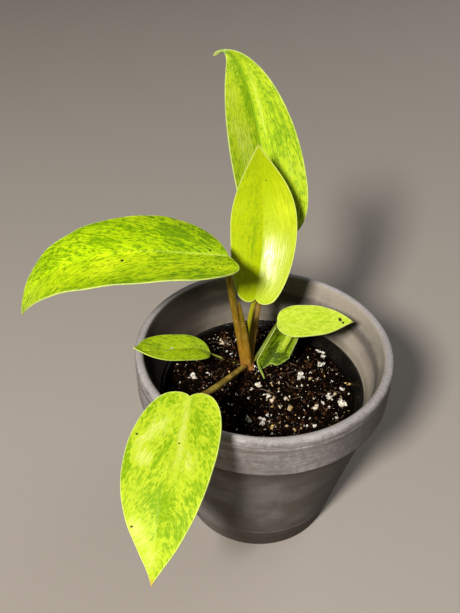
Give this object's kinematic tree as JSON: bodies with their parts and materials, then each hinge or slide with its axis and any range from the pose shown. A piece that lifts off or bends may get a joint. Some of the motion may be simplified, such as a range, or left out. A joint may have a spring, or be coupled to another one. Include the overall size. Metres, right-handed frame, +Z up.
{
  "type": "potted philodendron",
  "caption": "Young variegated philodendron with yellow-green leaves, growing in a black nursery pot that stands inside a grey clay flower pot with a tall collar.",
  "frame": {"origin": "middle of the clay pot's base, on the ground", "axes": "+Z up; -Y faces the viewer, +X is the viewer's right; the large arched leaf points to -X and the drooping leaf hangs over the rim towards -Y"},
  "size_m": [0.1813, 0.1859, 0.2346],
  "materials": {
    "clay": "matt grey clay with fine turning marks and a pale bloom",
    "nursery_plastic": "thin black plastic, slightly glossy, fine rings inside",
    "soil": "dark moist potting mix with white perlite and bark",
    "stalk": "olive to orange-brown, smooth, half matt",
    "leaf_left": "yellow-green leaf with darker green streaks along the veins, soft sheen",
    "leaf_tall": "yellow-green leaf with darker green streaks along the veins, soft sheen",
    "leaf_young": "yellow-green leaf with darker green streaks along the veins, soft sheen",
    "leaf_drooping": "yellow-green leaf with darker green streaks along the veins, soft sheen",
    "leaf_small_left": "yellow-green leaf with darker green streaks along the veins, soft sheen",
    "leaf_small_right": "yellow-green leaf with darker green streaks along the veins, soft sheen",
    "leaf_curled": "yellow-green leaf with darker green streaks along the veins, soft sheen"
  },
  "bodies": {
    "root": {"pot": "clay", "nursery_pot": "nursery_plastic", "soil": "soil", "stalks": "stalk", "leaf_left": "leaf_left", "leaf_tall": "leaf_tall", "leaf_young": "leaf_young", "leaf_drooping": "leaf_drooping", "leaf_small_left": "leaf_small_left", "leaf_small_right": "leaf_small_right", "leaf_curled": "leaf_curled"}
  },
  "joints": []
}
